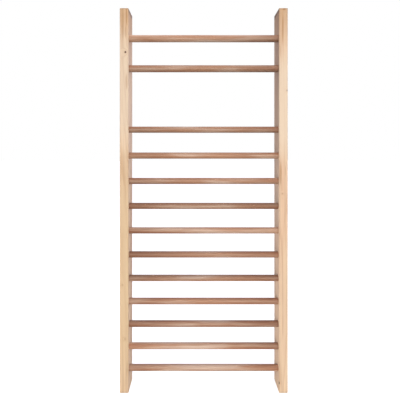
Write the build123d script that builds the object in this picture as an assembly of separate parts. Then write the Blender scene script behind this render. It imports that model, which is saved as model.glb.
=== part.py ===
from build123d import *
import os

# Wooden wall bars: two uprights joined by round rungs that a person climbs and hangs from.
# Each rung end sits in a blind socket and is drawn tight by one screw from the outside.
# Insert nuts in the rear edges take the bolts of the wall fixings.
#
# Millimetres, +Z up. The origin is on the floor, midway between the uprights and midway
# through their depth. The climbing side faces -Y and the wall side faces +Y.

# Overall size
HEIGHT = 2200
WIDTH = 960

# Uprights
UPRIGHT_THICK = 50
UPRIGHT_DEPTH = 120
LONG_EDGE_R = 3
END_BEVEL = 2.5

# Rungs
RUNG_D = 36
HANGING_RUNG_D = 40
RUNG_SETBACK = 28
RUNG_END_BEVEL = 1.5
SOCKET_DEPTH = 24
GLUE_GAP = 0.05
SOCKET_FLOOR_GAP = 0.5

# Rung heights, from the floor up. The climbing rungs draw further apart with height, and
# a wide step below the two hanging rungs leaves room for the body.
BOTTOM_RUNG_Z = 130
CLIMBING_RUNGS = 11
LOWEST_PITCH = 125.5
PITCH_GROWTH = 2.7
HANGING_STEP = 353
TOP_PITCH = 174

# Connector screws, one at each rung end
SCREW_HEAD_D = 12
SCREW_SHANK_D = 7
SCREW_CORE_D = 5
SCREW_LENGTH = 70
SCREW_TIP = 5
SCREW_SINK = 1
SCREW_KEY_WIDTH = 4
SCREW_KEY_DEPTH = 2.6
SCREW_GAP = 0.05

# Insert nuts for the wall bolts, M8
NUT_BODY_D = 12
NUT_FLANGE_D = 17
NUT_FLANGE_THICK = 1.5
NUT_LENGTH = 20
NUT_BORE_D = 6.8
NUT_GAP = 0.05
NUT_BOLT_ROOM = 12
LOWER_NUT_Z = 195
UPPER_NUT_Z = 1950

# Places that follow from the sizes above
INNER_X = WIDTH / 2 - UPRIGHT_THICK
MIDDLE_X = WIDTH / 2 - UPRIGHT_THICK / 2
FRONT_Y = -UPRIGHT_DEPTH / 2
REAR_Y = UPRIGHT_DEPTH / 2
RUNG_Y = FRONT_Y + RUNG_SETBACK
SOCKET_FLOOR_X = INNER_X + SOCKET_DEPTH
SCREW_HEAD_X = WIDTH / 2 - SCREW_SINK
SIDES = {"left": -1, "right": 1}
NUT_HEIGHTS = {"lower": LOWER_NUT_Z, "upper": UPPER_NUT_Z}


def rungs_bottom_up():
    """The name of each rung, the height of its axis and its diameter."""
    z = BOTTOM_RUNG_Z
    rungs = []
    for step in range(CLIMBING_RUNGS):
        rungs.append((f"climbing_rung_{step + 1:02d}", z, RUNG_D))
        z += LOWEST_PITCH + PITCH_GROWTH * step
    lower_z = rungs[-1][1] + HANGING_STEP
    rungs.append(("lower_hanging_rung", lower_z, HANGING_RUNG_D))
    rungs.append(("upper_hanging_rung", lower_z + TOP_PITCH, HANGING_RUNG_D))
    return rungs


RUNGS = rungs_bottom_up()


def rod_x(x_from, x_to, diameter, y, z):
    """A round rod along X."""
    low, high = sorted((x_from, x_to))
    place = Plane(origin=(low, y, z), x_dir=(0, 1, 0), z_dir=(1, 0, 0))
    return place * Cylinder(diameter / 2, high - low, align=(Align.CENTER, Align.CENTER, Align.MIN))


def rod_into_rear(x, z, diameter, depth):
    """A round rod that reaches from the rear face into the wood, towards -Y."""
    place = Plane(origin=(x, REAR_Y, z), x_dir=(1, 0, 0), z_dir=(0, -1, 0))
    return place * Cylinder(diameter / 2, depth, align=(Align.CENTER, Align.CENTER, Align.MIN))


def screw_outline(gap=0.0):
    """Half the lengthwise section of a connector screw, with its head at zero and its tip along +X.

    The head is a 45 degree countersink down to the shank. The thread is drawn at its core.
    """
    head_r = SCREW_HEAD_D / 2 + gap
    shank_r = SCREW_SHANK_D / 2 + gap
    core_r = SCREW_CORE_D / 2 + gap
    head_end = head_r - shank_r
    shank_end = WIDTH / 2 - SOCKET_FLOOR_X - SCREW_SINK
    tip_start = SCREW_LENGTH - SCREW_TIP
    return Polyline(
        (0, 0),
        (0, head_r),
        (head_end, shank_r),
        (shank_end, shank_r),
        (shank_end, core_r),
        (tip_start + gap, core_r),
        (SCREW_LENGTH + gap, 0),
        close=True,
    )


def screw_shape(side, z, gap=0.0):
    """The round body of one connector screw at its place in an upright."""
    body = revolve(make_face(screw_outline(gap)), Axis.X)
    place = Plane(
        origin=(side * SCREW_HEAD_X, RUNG_Y, z),
        x_dir=(-side, 0, 0),
        z_dir=(0, 0, 1),
    )
    return place * body


def connector_screw(side, z):
    """One connector screw with the hexagonal socket in its head."""
    key = extrude(RegularPolygon(SCREW_KEY_WIDTH / 2, 6, major_radius=False), SCREW_KEY_DEPTH)
    place = Plane(origin=(side * SCREW_HEAD_X, RUNG_Y, z), x_dir=(0, 1, 0), z_dir=(-side, 0, 0))
    return screw_shape(side, z) - place * key


def screw_hole(side, z):
    """What the screw needs cut away: its own shape with a little room, open to the outer face."""
    mouth = rod_x(side * WIDTH / 2, side * SCREW_HEAD_X, SCREW_HEAD_D + 2 * SCREW_GAP, RUNG_Y, z)
    return screw_shape(side, z, SCREW_GAP) + mouth


def insert_nut(side, z):
    """A flanged insert nut, flush with the rear face, with a tapped bore right through."""
    x = side * MIDDLE_X
    body = rod_into_rear(x, z, NUT_BODY_D, NUT_LENGTH)
    flange = rod_into_rear(x, z, NUT_FLANGE_D, NUT_FLANGE_THICK)
    return body + flange - rod_into_rear(x, z, NUT_BORE_D, NUT_LENGTH)


def nut_hole(side, z):
    """The stepped hole for an insert nut, with room for the bolt's end past the nut."""
    x = side * MIDDLE_X
    body = rod_into_rear(x, z, NUT_BODY_D + 2 * NUT_GAP, NUT_LENGTH)
    flange = rod_into_rear(x, z, NUT_FLANGE_D + 2 * NUT_GAP, NUT_FLANGE_THICK)
    return body + flange + rod_into_rear(x, z, NUT_BORE_D, NUT_LENGTH + NUT_BOLT_ROOM)


def upright(side):
    """One upright with its rung sockets, screw holes and insert nut holes."""
    board = Pos(side * MIDDLE_X, 0, HEIGHT / 2) * Box(UPRIGHT_THICK, UPRIGHT_DEPTH, HEIGHT)
    board = fillet(board.edges().filter_by(Axis.Z), LONG_EDGE_R)
    ends = board.faces().filter_by(Axis.Z)
    board = chamfer(ends.edges(), END_BEVEL)
    for name, z, diameter in RUNGS:
        socket = rod_x(side * INNER_X, side * SOCKET_FLOOR_X, diameter + 2 * GLUE_GAP, RUNG_Y, z)
        board -= socket
        board -= screw_hole(side, z)
    for z in NUT_HEIGHTS.values():
        board -= nut_hole(side, z)
    return board


def rung(z, diameter):
    """One rung with bevelled ends and a pilot hole in each for its screw."""
    reach = SOCKET_FLOOR_X - SOCKET_FLOOR_GAP
    bar = rod_x(-reach, reach, diameter, RUNG_Y, z)
    bar = chamfer(bar.edges().filter_by(GeomType.CIRCLE), RUNG_END_BEVEL)
    for side in SIDES.values():
        bar -= screw_shape(side, z, SCREW_GAP)
    return bar


def save(shape, name):
    """Writes one node, all of whose pieces are solids."""
    solids = shape.solids()
    shape = solids[0] if len(solids) == 1 else Compound(children=list(solids))
    export_step(shape, f"parts/{name}.step")


os.makedirs("parts", exist_ok=True)

for side_name, side in SIDES.items():
    save(upright(side), f"{side_name}_upright")
    screws = [connector_screw(side, z) for name, z, diameter in RUNGS]
    save(Compound(children=screws), f"{side_name}_rung_screws")
    for level, z in NUT_HEIGHTS.items():
        save(insert_nut(side, z), f"{level}_{side_name}_insert_nut")

for name, z, diameter in RUNGS:
    save(rung(z, diameter), name)
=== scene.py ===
import math

import bpy
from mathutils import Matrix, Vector


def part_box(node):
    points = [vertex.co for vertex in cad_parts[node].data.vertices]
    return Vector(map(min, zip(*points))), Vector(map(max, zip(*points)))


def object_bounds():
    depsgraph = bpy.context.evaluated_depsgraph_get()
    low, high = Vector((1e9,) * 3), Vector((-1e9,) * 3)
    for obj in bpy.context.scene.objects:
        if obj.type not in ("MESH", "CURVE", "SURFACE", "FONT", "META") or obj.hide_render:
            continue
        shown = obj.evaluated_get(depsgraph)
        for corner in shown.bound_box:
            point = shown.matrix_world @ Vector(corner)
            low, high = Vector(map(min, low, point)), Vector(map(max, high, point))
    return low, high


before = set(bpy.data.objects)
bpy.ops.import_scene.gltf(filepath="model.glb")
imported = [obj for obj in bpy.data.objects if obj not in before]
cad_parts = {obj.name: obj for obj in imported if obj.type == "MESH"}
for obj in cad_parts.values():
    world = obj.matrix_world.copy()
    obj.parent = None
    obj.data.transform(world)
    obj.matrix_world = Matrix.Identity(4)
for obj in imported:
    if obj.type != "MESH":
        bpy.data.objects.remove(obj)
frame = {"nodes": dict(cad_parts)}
cad_low, cad_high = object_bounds()

# Wooden wall bars, seen from the front in a white studio. Metres, +Z up, front towards -Y.
# The CAD nodes keep their shapes. Every wood surface is cut from a solid block of wood that
# the shader works out in 3D, so that faces, edges and end grain of one board agree.

# Places and pieces taken from the frame
TOP_Z = cad_high.z
FRONT_Y = cad_low.y
INNER_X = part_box("right_upright")[0].x
SCREWS = ("left_rung_screws", "right_rung_screws")
NUTS = sorted(name for name in frame["nodes"] if name.endswith("insert_nut"))


def is_rung(name):
    return name.startswith("climbing_rung") or name.endswith("hanging_rung")


# The rungs, lowest first
RUNGS = sorted(filter(is_rung, frame["nodes"]), key=lambda name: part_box(name)[0].z)


# ---------------------------------------------------------------- node helpers

# Socket numbers of a Mix node that is set to mix colours
MIX_FACTOR = 0
MIX_FIRST = 6
MIX_SECOND = 7
MIX_RESULT = 2


class Graph:
    """One material's node tree, with short names for the nodes that wood and metal need.

    Each method that adds a node takes sockets or plain values, and returns the node's result.
    """

    def __init__(self, name):
        self.material = bpy.data.materials.new(name)
        self.material.use_nodes = True
        self.tree = self.material.node_tree
        self.tree.nodes.clear()
        self.shader = self.add("ShaderNodeBsdfPrincipled")
        output = self.add("ShaderNodeOutputMaterial")
        self.tree.links.new(self.shader.outputs["BSDF"], output.inputs["Surface"])

    def add(self, kind, **settings):
        node = self.tree.nodes.new(kind)
        for key, value in settings.items():
            setattr(node, key, value)
        return node

    def feed(self, socket, value):
        if isinstance(value, bpy.types.NodeSocket):
            self.tree.links.new(value, socket)
        else:
            socket.default_value = value

    def place(self):
        """The point on the surface, in metres. The nodes' own axes are the shared frame's."""
        return self.add("ShaderNodeTexCoord").outputs["Object"]

    def math(self, operation, *values):
        node = self.add("ShaderNodeMath", operation=operation)
        for socket, value in zip(node.inputs, values):
            self.feed(socket, value)
        return node.outputs[0]

    def plus(self, *values):
        total = values[0]
        for value in values[1:]:
            total = self.math("ADD", total, value)
        return total

    def minus(self, first, second):
        return self.math("SUBTRACT", first, second)

    def times(self, *values):
        total = values[0]
        for value in values[1:]:
            total = self.math("MULTIPLY", total, value)
        return total

    def distance(self, sideways, upwards):
        """How far a point is from the origin of a plane, from its two coordinates there."""
        squares = self.plus(self.times(sideways, sideways), self.times(upwards, upwards))
        return self.math("SQRT", squares)

    def scaled(self, vector, scale, offset=(0, 0, 0)):
        node = self.add("ShaderNodeVectorMath", operation="MULTIPLY_ADD")
        self.feed(node.inputs[0], vector)
        node.inputs[1].default_value = scale
        node.inputs[2].default_value = offset
        return node.outputs[0]

    def split(self, vector):
        node = self.add("ShaderNodeSeparateXYZ")
        self.feed(node.inputs[0], vector)
        return node.outputs["X"], node.outputs["Y"], node.outputs["Z"]

    def join(self, x, y, z):
        node = self.add("ShaderNodeCombineXYZ")
        for socket, value in zip(node.inputs, (x, y, z)):
            self.feed(socket, value)
        return node.outputs[0]

    def noise(self, vector, scale, offset=(0, 0, 0), detail=2.0, roughness=0.5):
        """Noise from 0 to 1, centred on 0.5. The scale is in cells per metre along X, Y and Z."""
        node = self.add("ShaderNodeTexNoise")
        self.feed(node.inputs["Vector"], self.scaled(vector, scale, offset))
        node.inputs["Scale"].default_value = 1.0
        node.inputs["Detail"].default_value = detail
        node.inputs["Roughness"].default_value = roughness
        return node.outputs["Fac"]

    def random(self, value):
        node = self.add("ShaderNodeTexWhiteNoise", noise_dimensions="1D")
        self.feed(node.inputs["W"], value)
        return node.outputs["Value"]

    def rise(self, value, low, high):
        """Goes smoothly from 0 to 1 as the value goes from low to high."""
        node = self.add("ShaderNodeMapRange", interpolation_type="SMOOTHSTEP")
        self.feed(node.inputs["Value"], value)
        node.inputs["From Min"].default_value = low
        node.inputs["From Max"].default_value = high
        return node.outputs["Result"]

    def fall(self, value, low, high):
        """Goes smoothly from 1 to 0 as the value goes from low to high."""
        return self.minus(1.0, self.rise(value, low, high))

    def mix(self, factor, first, second, blend="MIX"):
        node = self.add("ShaderNodeMix", data_type="RGBA", blend_type=blend)
        self.feed(node.inputs[MIX_FACTOR], factor)
        for number, value in ((MIX_FIRST, first), (MIX_SECOND, second)):
            self.feed(node.inputs[number], (*value, 1.0) if isinstance(value, tuple) else value)
        return node.outputs[MIX_RESULT]

    def shade(self, colour, value):
        """The colour times a grey value."""
        return self.mix(1.0, colour, self.join(value, value, value), "MULTIPLY")

    def darken(self, colour, mask, amount):
        """The colour, darker by the amount where the mask is 1."""
        return self.shade(colour, self.minus(1.0, self.times(mask, amount)))

    def bump(self, height, distance, strength):
        node = self.add("ShaderNodeBump")
        self.feed(node.inputs["Height"], height)
        node.inputs["Distance"].default_value = distance
        node.inputs["Strength"].default_value = strength
        return node.outputs["Normal"]


def give(node, material):
    """Every face of a CAD node takes one material."""
    for slot in frame["nodes"][node].material_slots:
        slot.material = material


# ---------------------------------------------------------------- pine uprights

PINE_EARLY = (0.85, 0.64, 0.415)
PINE_LATE = (0.58, 0.335, 0.160)
PINE_BLUSH = (0.76, 0.51, 0.33)
PINE_TANNED = (0.60, 0.365, 0.170)
PINE_RESIN = (0.47, 0.235, 0.080)
PINE_SAP = (0.90, 0.75, 0.55)
PINE_HONEY = (0.77, 0.570, 0.310)
KNOT_BROWN = (0.075, 0.030, 0.012)
KNOT_RED = (0.15, 0.062, 0.025)

# How far three sizes of noise move a growth ring
RING_SWAY = 0.022
RING_YEARS = 0.006
RING_RIPPLE = 0.0022

# Knots are a little taller than they are wide, and push the rings aside by somewhat more
# than their radius.
KNOT_SQUASH = 0.85
KNOT_PUSH = 1.3

# How deep the streaks of an upright's front face go, and how far the marks of its edges and
# ends reach
STREAK_DEPTH = 0.010
ARRIS_REACH = 0.006
SAWN_REACH = 0.022
UNDER_TOP_REACH = 0.042
TAN_REACH = 0.24


class Knot:
    """The stub of a small branch through a board, along X or along Y."""

    def __init__(self, along, across, z, radius, dark=1.0):
        self.along = along
        self.across = across
        self.z = z
        self.radius = radius
        self.dark = dark


class Streak:
    """A patch of another colour in a board's front face, mostly longer along the grain."""

    def __init__(self, across, z, half_width, half_length, strength, colour=PINE_RESIN):
        self.across = across
        self.z = z
        self.half_width = half_width
        self.half_length = half_length
        self.strength = strength
        self.colour = colour


def knot_distance(g, place, knot):
    """How far a point is from a knot's middle line, in knot radii."""
    x, y, z = g.split(place)
    sideways = g.minus(x if knot.along == "Y" else y, knot.across)
    upwards = g.times(g.minus(z, knot.z), KNOT_SQUASH)
    return g.times(g.distance(sideways, upwards), 1 / knot.radius)


def knots_through(g, place, knots):
    """What a board's knots do at a point.

    It gives how far they push the growth rings out, and masks for their cores, for the stained
    wood round them and for the rings inside them.
    """
    push = 0.0
    cores = 0.0
    stains = 0.0
    rings = 0.0
    for knot in knots:
        far = knot_distance(g, place, knot)
        near = g.math("EXPONENT", g.times(far, far, -0.10))
        push = g.plus(push, g.times(near, KNOT_PUSH * knot.radius))
        ragged = g.plus(far, g.times(g.noise(place, (260, 260, 260)), 0.5))
        core = g.fall(ragged, 1.0, 1.55)
        stain = g.math("EXPONENT", g.times(far, -0.55))
        ring = g.rise(g.math("PINGPONG", g.times(ragged, 2.2), 0.5), 0.1, 0.4)
        cores = g.math("MAXIMUM", cores, g.times(core, knot.dark))
        stains = g.math("MAXIMUM", stains, stain)
        rings = g.math("MAXIMUM", rings, g.times(ring, core))
    return push, cores, stains, rings


def late_wood(g, place, push, pith, lean, ring, seed):
    """Mask for the darker late wood of the growth rings round the pith.

    Slow noise bends the rings, good and bad years make them wide and narrow, and each has
    a strength of its own. They darken slowly and end sharply, as pine rings do.
    """
    x, y, z = g.split(place)
    sway = g.noise(place, (5, 5, 0.8), (seed, 0, 0), detail=1)
    years = g.noise(place, (60, 60, 0.4), (0, 0, seed), detail=1)
    ripple = g.noise(place, (30, 30, 3.5), (0, seed, 0))
    sideways = g.plus(x, g.times(z, lean[0]), -pith[0])
    inwards = g.plus(y, g.times(z, lean[1]), -pith[1])
    radius = g.plus(
        g.distance(sideways, inwards),
        g.times(sway, RING_SWAY),
        g.times(years, RING_YEARS),
        g.times(ripple, RING_RIPPLE),
        push,
    )
    count = g.times(radius, 1 / ring)
    part = g.math("FRACT", count)
    strength = g.plus(0.35, g.times(g.random(g.math("FLOOR", count)), 0.65))
    return g.times(g.rise(part, 0.35, 0.9), g.fall(part, 0.9, 1.0), strength)


def streak_mask(g, place, streak):
    """The streak's strength in its middle, fading to 0 at its ragged edge and below the face."""
    x, y, z = g.split(place)
    sideways = g.times(g.minus(x, streak.across), 1 / streak.half_width)
    upwards = g.times(g.minus(z, streak.z), 1 / streak.half_length)
    far = g.distance(sideways, upwards)
    ragged = g.plus(far, g.times(g.noise(place, (420, 420, 12)), 0.6))
    shallow = g.fall(y, FRONT_Y + 0.001, FRONT_Y + STREAK_DEPTH)
    return g.times(g.fall(ragged, 0.8, 1.5), shallow, streak.strength)


def pine(name, low, high, tone, pith, lean, ring, seed, knots, streaks):
    """Planed pine with its grain along Z, for the board between the corners low and high.

    The pith is a nearly upright line outside the board: pith is its X and Y at the floor, and
    lean how far the rings move along X and Y per metre of height. ring is the width of a year.
    """
    g = Graph(name)
    place = g.place()
    x, y, z = g.split(place)
    push, knot_core, knot_stain, knot_rings = knots_through(g, place, knots)
    late = late_wood(g, place, push, pith, lean, ring, seed)

    # Rings, a slow blush, the tan of the upper end, broad bands, then streaks and fine fibres
    streak = g.noise(place, (150, 150, 1.6), (0, 0, seed), detail=3, roughness=0.6)
    band = g.rise(g.noise(place, (95, 95, 2.6), (seed, 0, 4)), 0.50, 0.72)
    fibre = g.noise(place, (1500, 1500, 22), (seed, seed, 0), roughness=0.7)
    blush = g.rise(g.noise(place, (9, 9, 1.7), (seed, 3, 1)), 0.42, 0.72)
    below_top = g.minus(high.z, z)
    tanned = g.times(g.fall(below_top, 0.0, TAN_REACH), g.plus(0.25, g.times(streak, 0.7)))
    colour = g.mix(g.times(late, 0.70), PINE_EARLY, PINE_LATE)
    colour = g.mix(g.times(blush, 0.55), colour, PINE_BLUSH)
    colour = g.mix(tanned, colour, PINE_TANNED)
    colour = g.mix(g.times(band, 0.32), colour, PINE_LATE)
    colour = g.shade(colour, g.plus(tone - 0.22, g.times(streak, 0.46)))
    colour = g.shade(colour, g.plus(0.93, g.times(fibre, 0.14)))
    for patch in streaks:
        colour = g.mix(streak_mask(g, place, patch), colour, patch.colour)
    colour = g.mix(g.times(knot_stain, 0.45), colour, PINE_LATE)
    colour = g.mix(knot_core, colour, g.mix(knot_rings, KNOT_BROWN, KNOT_RED))

    # End grain drinks the lacquer and goes darker. Sawn ends catch a little grime. The planed
    # arrises are a little darker, and the side faces are darker just under the top.
    normal_x, _, normal_z = g.split(g.add("ShaderNodeNewGeometry").outputs["Normal"])
    end_grain = g.rise(g.math("ABSOLUTE", normal_z), 0.45, 0.85)
    side_face = g.rise(g.math("ABSOLUTE", normal_x), 0.45, 0.85)
    from_x = g.math("MINIMUM", g.minus(x, low.x), g.minus(high.x, x))
    from_y = g.math("MINIMUM", g.minus(y, low.y), g.minus(high.y, y))
    from_end = g.math("MINIMUM", z, below_top)
    ragged = g.times(streak, 0.012)
    arris = g.fall(g.math("MAXIMUM", from_x, from_y), 0.0005, ARRIS_REACH)
    sawn = g.fall(g.plus(from_end, ragged), 0.004, SAWN_REACH)
    darker_under_top = g.times(side_face, g.fall(g.plus(below_top, ragged), 0.016, UNDER_TOP_REACH))
    pores = g.noise(place, (1900, 1900, 1900), detail=1)
    drunk = g.shade(colour, g.plus(0.70, g.times(pores, 0.14)))
    colour = g.mix(end_grain, colour, drunk)
    colour = g.darken(colour, arris, 0.14)
    colour = g.darken(colour, sawn, 0.16)
    colour = g.darken(colour, darker_under_top, 0.50)
    g.feed(g.shader.inputs["Base Color"], colour)

    rough = g.plus(
        0.50,
        g.times(fibre, 0.14),
        g.times(late, -0.08),
        g.times(end_grain, 0.2),
        g.times(knot_core, 0.15),
    )
    g.feed(g.shader.inputs["Roughness"], rough)
    open_pores = g.times(pores, end_grain)
    relief = g.plus(g.times(fibre, 0.5), g.times(late, 0.5), g.times(open_pores, 0.7))
    g.feed(g.shader.inputs["Normal"], g.bump(relief, 0.00025, 0.6))
    g.shader.inputs["Coat Weight"].default_value = 0.12
    g.shader.inputs["Coat Roughness"].default_value = 0.35
    return g.material


# ---------------------------------------------------------------- beech rungs

BEECH_PALE = (0.59, 0.390, 0.262)
BEECH_ROSE = (0.43, 0.202, 0.102)
BEECH_DARK = (0.305, 0.143, 0.073)
BEECH_FLECK = (0.22, 0.092, 0.042)
# Tints of the painted shade at a rung's ends and of the painted light in its middle
BEECH_PAINTED_SHADE_TINT = (1.0, 0.970, 0.935)
BEECH_PAINTED_LIGHT_TINT = (1.02, 1.130, 1.230)
BEECH_RING = 0.0031

# How far a rung's middle line is from the tree's pith, how far from each upright its end is
# darker, and how far from each upright the painted shade of its ends gives way to painted light
PITH_DISTANCE = 0.045
JOINT_REACH = 0.014
PAINTED_LIGHT_REACH = 0.38

# Each rung's wood, lowest rung first: how pale it is at the left and right ends, 1 being
# neutral, and where its pith lies, from -1 underneath, past 0 at the back, to 1 on top. The
# side towards the pith is painted darker, as painted shade on the rung's top or underside.
RUNG_WOOD = (
    (0.98, 1.10, 0.4),
    (1.26, 0.80, 0.2),
    (0.76, 0.68, 0.4),
    (0.96, 0.86, 0.3),
    (0.82, 0.88, 0.95),
    (0.64, 0.84, 0.2),
    (0.86, 1.18, -0.7),
    (0.66, 0.60, 0.4),
    (0.80, 1.00, -0.6),
    (0.94, 1.02, 0.0),
    (0.84, 0.80, -0.8),
    (0.96, 0.70, -0.8),
    (1.26, 0.78, -0.8),
)


def beech(name, middle, left_tone, right_tone, pith_and_shade_side, seed):
    """Turned steamed beech with its grain along X: faint rings, long streaks, short ray flecks."""
    g = Graph(name)
    place = g.place()
    x, y, z = g.split(place)
    pith_y = middle.y + PITH_DISTANCE * math.sqrt(1 - pith_and_shade_side * pith_and_shade_side)
    pith_z = middle.z + PITH_DISTANCE * pith_and_shade_side
    sway = g.noise(place, (1.6, 22, 22), (seed, 0, 0), detail=1)
    radius = g.distance(g.plus(y, -pith_y), g.plus(z, -pith_z))
    count = g.times(g.plus(radius, g.times(sway, 0.012)), 1 / BEECH_RING)
    part = g.math("FRACT", count)
    late = g.times(g.rise(part, 0.4, 0.92), g.fall(part, 0.92, 1.0))

    cloud = g.noise(place, (3.5, 40, 40), (seed, seed, 0))
    streak = g.noise(place, (4.5, 420, 420), (0, seed, seed), detail=3, roughness=0.65)
    fibre = g.noise(place, (45, 2600, 2600), (seed, 0, seed), roughness=0.7)
    fleck = g.rise(g.noise(place, (260, 1500, 1500), (0, 0, seed), detail=1), 0.66, 0.74)
    along = g.math("MULTIPLY_ADD", x, 0.5 / INNER_X, 0.5)
    tone = g.math("MULTIPLY_ADD", along, right_tone - left_tone, left_tone - 1)
    pale = g.rise(g.plus(cloud, g.times(tone, 0.3)), 0.34, 0.68)
    colour = g.mix(pale, BEECH_ROSE, BEECH_PALE)
    colour = g.mix(g.times(late, 0.35), colour, BEECH_DARK)
    colour = g.shade(colour, g.plus(0.80, g.times(streak, 0.40)))
    colour = g.shade(colour, g.plus(0.93, g.times(fibre, 0.14)))
    colour = g.mix(g.times(fleck, 0.35), colour, BEECH_FLECK)

    # Painted light and shade: the middle of a rung is painted paler and less red, and its ends
    # darker and redder. The last centimetre before each upright is darker.
    to_joint = g.minus(INNER_X, g.math("ABSOLUTE", x))
    joint = g.fall(to_joint, 0.0, JOINT_REACH)
    painted_light_middle = g.rise(to_joint, 0.0, PAINTED_LIGHT_REACH)
    # Painted shade: the side of the rung towards the pith is darker and the far side paler.
    painted_side_shade = g.times(g.plus(radius, -PITH_DISTANCE), 11)
    brightness = g.plus(
        0.77,
        g.times(tone, 0.65),
        g.times(painted_light_middle, 0.24),
        g.times(joint, -0.14),
        painted_side_shade,
    )
    colour = g.shade(colour, brightness)
    tint = g.mix(painted_light_middle, BEECH_PAINTED_SHADE_TINT, BEECH_PAINTED_LIGHT_TINT)
    g.feed(g.shader.inputs["Base Color"], g.mix(1.0, colour, tint, "MULTIPLY"))

    handled = g.noise(place, (9, 60, 60), (seed, 5, 2))
    rough = g.plus(0.38, g.times(handled, 0.12), g.times(fibre, 0.06), g.times(fleck, 0.06))
    g.feed(g.shader.inputs["Roughness"], rough)
    relief = g.plus(g.times(fibre, 0.6), g.times(streak, 0.4), g.times(fleck, -0.5))
    g.feed(g.shader.inputs["Normal"], g.bump(relief, 0.00010, 0.4))
    g.shader.inputs["Coat Weight"].default_value = 0.15
    g.shader.inputs["Coat Roughness"].default_value = 0.40
    return g.material


# ---------------------------------------------------------------- plated steel

ZINC_BRIGHT = (0.55, 0.56, 0.57)
ZINC_DULL = (0.40, 0.40, 0.41)
YELLOW_ZINC_BRIGHT = (0.68, 0.56, 0.30)
YELLOW_ZINC_DULL = (0.50, 0.42, 0.26)


def plated(name, bright, dull):
    """Zinc plating on steel: fine grain, cloudy brightness, and rub marks that shine."""
    g = Graph(name)
    place = g.place()
    cloud = g.noise(place, (160, 160, 160), detail=3)
    grain = g.noise(place, (2400, 2400, 2400))
    rub = g.rise(g.noise(place, (700, 90, 700)), 0.55, 0.7)
    colour = g.mix(g.rise(cloud, 0.3, 0.75), bright, dull)
    colour = g.shade(colour, g.plus(0.9, g.times(grain, 0.2)))
    g.feed(g.shader.inputs["Base Color"], colour)
    g.shader.inputs["Metallic"].default_value = 1.0
    rough = g.plus(0.38, g.times(cloud, 0.16), g.times(grain, 0.10), g.times(rub, -0.08))
    g.feed(g.shader.inputs["Roughness"], rough)
    g.feed(g.shader.inputs["Normal"], g.bump(grain, 0.00008, 0.5))
    return g.material


# ---------------------------------------------------------------- dress the frame

left_low, left_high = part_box("left_upright")
right_low, right_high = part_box("right_upright")
left_middle_x = (left_low.x + left_high.x) / 2
right_middle_x = (right_low.x + right_high.x) / 2

# The streaks, and the knots along Y, are where the photograph shows them on the front faces.
# The knots along X come out on the inner and outer faces, and their places are guessed.
give("left_upright", pine(
    "pine_left", left_low, left_high, tone=1.04,
    pith=(left_low.x + 0.060, 0.11), lean=(0.004, 0.006), ring=0.0040, seed=3.1,
    knots=[
        Knot("Y", left_low.x + 0.0325, TOP_Z - 0.252, 0.0050),
        Knot("Y", left_low.x + 0.016, 0.618, 0.0030, 0.12),
        Knot("Y", left_low.x + 0.030, 0.310, 0.0035, 0.15),
        Knot("X", 0.022, 0.905, 0.0065, 0.8),
    ],
    streaks=[
        Streak(left_middle_x, 1.750, 0.0900, 0.340, 0.60, PINE_SAP),
        Streak(left_high.x - 0.011, TOP_Z - 0.050, 0.0045, 0.055, 0.60),
        Streak(left_low.x + 0.019, TOP_Z - 0.090, 0.0075, 0.095, 0.35),
        Streak(left_high.x - 0.011, TOP_Z - 0.420, 0.0070, 0.050, 0.38),
        Streak(left_high.x - 0.016, TOP_Z - 0.135, 0.0060, 0.040, 0.34),
        Streak(left_high.x - 0.008, TOP_Z - 2.060, 0.0070, 0.050, 0.25),
        Streak(left_middle_x, 1.250, 0.0600, 0.140, 0.20),
        Streak(left_middle_x, 0.640, 0.0900, 0.700, 0.60, PINE_HONEY),
    ],
))
give("right_upright", pine(
    "pine_right", right_low, right_high, tone=1.0,
    pith=(right_low.x + 0.010, 0.13), lean=(-0.003, 0.005), ring=0.0044, seed=7.7,
    knots=[
        Knot("Y", right_high.x - 0.004, TOP_Z - 0.471, 0.0028, 0.5),
        Knot("Y", right_low.x + 0.019, 1.140, 0.0032, 0.15),
        Knot("X", 0.031, 1.356, 0.0080, 0.7),
    ],
    streaks=[
        Streak(right_middle_x, 1.650, 0.0900, 0.330, 0.70, PINE_SAP),
        Streak(right_low.x + 0.029, TOP_Z - 0.004, 0.0100, 0.010, 0.85),
        Streak(right_low.x + 0.021, TOP_Z - 0.118, 0.0055, 0.095, 0.55),
        Streak(right_low.x + 0.009, TOP_Z - 0.250, 0.0030, 0.040, 0.30),
        Streak(right_middle_x, 1.200, 0.0600, 0.160, 0.06),
        Streak(right_low.x + 0.009, 1.255, 0.0070, 0.075, 0.50),
        Streak(right_low.x + 0.036, 1.270, 0.0040, 0.035, 0.25),
        Streak(right_low.x, 0.058, 0.0045, 0.0085, 0.90, KNOT_BROWN),
    ],
))

for number, (name, (left_tone, right_tone, pith_and_shade_side)) in enumerate(zip(RUNGS, RUNG_WOOD)):
    low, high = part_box(name)
    middle = (low + high) / 2
    seed = 1.0 + 3.7 * number
    wood = beech(f"beech_{number + 1:02d}", middle, left_tone, right_tone, pith_and_shade_side, seed)
    give(name, wood)

zinc = plated("zinc", ZINC_BRIGHT, ZINC_DULL)
yellow_zinc = plated("yellow_zinc", YELLOW_ZINC_BRIGHT, YELLOW_ZINC_DULL)
for name in SCREWS:
    give(name, zinc)
for name in NUTS:
    give(name, yellow_zinc)


# ---------------------------------------------------------------- studio

# The floor lies just under the uprights' feet, and the camera is this far from their fronts.
FLOOR_Z = -0.0005
FLOOR_REACH = 40.0
CAMERA_DISTANCE = 1.94


def studio_white():
    """A pale matt floor, lifted for the camera alone so that it burns out as in a product shot."""
    g = Graph("studio_white")
    g.shader.inputs["Base Color"].default_value = (0.50, 0.50, 0.50, 1.0)
    g.shader.inputs["Roughness"].default_value = 0.9
    g.shader.inputs["Emission Color"].default_value = (1, 1, 1, 1)
    seen = g.add("ShaderNodeLightPath").outputs["Is Camera Ray"]
    g.feed(g.shader.inputs["Emission Strength"], g.times(seen, 0.85))
    return g.material


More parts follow.
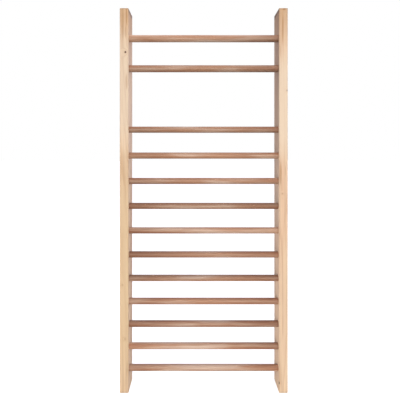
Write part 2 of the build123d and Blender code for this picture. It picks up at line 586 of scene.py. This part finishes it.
def floor():
    mesh = bpy.data.meshes.new("studio_floor")
    corners = [
        (-FLOOR_REACH, -FLOOR_REACH, FLOOR_Z),
        (FLOOR_REACH, -FLOOR_REACH, FLOOR_Z),
        (FLOOR_REACH, FLOOR_REACH, FLOOR_Z),
        (-FLOOR_REACH, FLOOR_REACH, FLOOR_Z),
    ]
    mesh.from_pydata(corners, [], [(0, 1, 2, 3)])
    mesh.materials.append(studio_white())
    plane = bpy.data.objects.new("studio_floor", mesh)
    bpy.context.scene.collection.objects.link(plane)


def softbox(name, place, target, size, watts, colour=(1, 1, 1), spread=180):
    """An area light that the camera doesn't see. A small spread, in degrees, narrows its beam."""
    light = bpy.data.lights.new(name, "AREA")
    light.shape = "RECTANGLE"
    light.size, light.size_y = size
    light.energy = watts
    light.color = colour
    light.spread = math.radians(spread)
    lamp = bpy.data.objects.new(name, light)
    lamp.location = place
    lamp.rotation_euler = (Vector(target) - Vector(place)).to_track_quat("-Z", "Y").to_euler()
    lamp.visible_camera = False
    bpy.context.scene.collection.objects.link(lamp)


def studio_world(fill, lean):
    """The camera sees plain white past the floor, and the object is lit by a softer fill.

    The fill's strength goes from 1 - lean on the left to 1 + lean on the right.
    """
    world = bpy.data.worlds.new("studio")
    bpy.context.scene.world = world
    world.use_nodes = True
    tree = world.node_tree
    tree.nodes.clear()
    path = tree.nodes.new("ShaderNodeLightPath")
    dim = tree.nodes.new("ShaderNodeBackground")
    dim.inputs["Color"].default_value = (*fill, 1.0)
    towards = tree.nodes.new("ShaderNodeSeparateXYZ")
    tree.links.new(tree.nodes.new("ShaderNodeTexCoord").outputs["Generated"], towards.inputs[0])
    strength = tree.nodes.new("ShaderNodeMath")
    strength.operation = "MULTIPLY_ADD"
    strength.inputs[1].default_value = lean
    strength.inputs[2].default_value = 1.0
    tree.links.new(towards.outputs["X"], strength.inputs[0])
    tree.links.new(strength.outputs[0], dim.inputs["Strength"])
    white = tree.nodes.new("ShaderNodeBackground")
    white.inputs["Color"].default_value = (1.0, 1.0, 1.0, 1.0)
    mixed = tree.nodes.new("ShaderNodeMixShader")
    output = tree.nodes.new("ShaderNodeOutputWorld")
    tree.links.new(path.outputs["Is Camera Ray"], mixed.inputs["Fac"])
    tree.links.new(dim.outputs[0], mixed.inputs[1])
    tree.links.new(white.outputs[0], mixed.inputs[2])
    tree.links.new(mixed.outputs[0], output.inputs["Surface"])


def camera():
    """A level camera at chest height, a little to the left, with the shift of the framing."""
    data = bpy.data.cameras.new("camera")
    data.sensor_width = 36.0
    data.lens = 30.58
    data.shift_x = 0.0125
    data.shift_y = -0.125
    data.dof.use_dof = False
    view = bpy.data.objects.new("camera", data)
    view.location = (-0.050, FRONT_Y - CAMERA_DISTANCE, 1.389)
    view.rotation_euler = (math.radians(90), 0, 0)
    bpy.context.scene.collection.objects.link(view)
    bpy.context.scene.camera = view


floor()
studio_world(fill=(0.48, 0.455, 0.57), lean=0.50)

# The key is far away, so that it lights all heights nearly alike.
softbox("key", (0.0, -7.0, 1.9), (0.0, 0.0, 1.2), (1.6, 1.6), 204, (1.0, 0.955, 0.815))

# The side lights reach the inner faces: a warm one the upper part of the left upright's, and
# two whiter ones the lower parts of both.
softbox("right_high", (3.2, -1.1, 1.9), (-0.4, 0.0, 1.7), (0.9, 1.0), 9, (1.0, 0.83, 0.62))
softbox("left_low", (-4.8, -0.70, 0.4), (0.4, 0.0, 0.3), (1.0, 1.0), 4.4, (1.0, 0.96, 0.97), 30)
softbox("right_low", (2.4, -0.35, 0.4), (-0.4, 0.0, 0.5), (0.8, 0.8), 18, (0.90, 0.95, 1.0))

# Each strip stands in line with the uprights, so that the nearer one shades the inner face of
# the other and only the outer face takes its light.
softbox("left_strip", (-1.2, 0.0, 1.65), (0.0, 0.0, 1.65), (0.14, 1.4), 1.9)
softbox("right_strip", (1.2, 0.0, 1.2), (0.0, 0.0, 1.2), (0.14, 2.0), 0.9)

# The back and the top
softbox("back_left", (-2.6, 4.4, 0.5), (0.0, 0.0, 0.8), (1.2, 1.2), 20)
softbox("back_right", (2.6, 4.8, 1.5), (0.0, 0.0, 1.1), (1.2, 1.2), 22)
softbox("top", (0.0, -0.4, 4.2), (0.0, 0.0, 1.0), (2.5, 2.5), 22)

camera()
bpy.context.scene.view_settings.view_transform = "Standard"
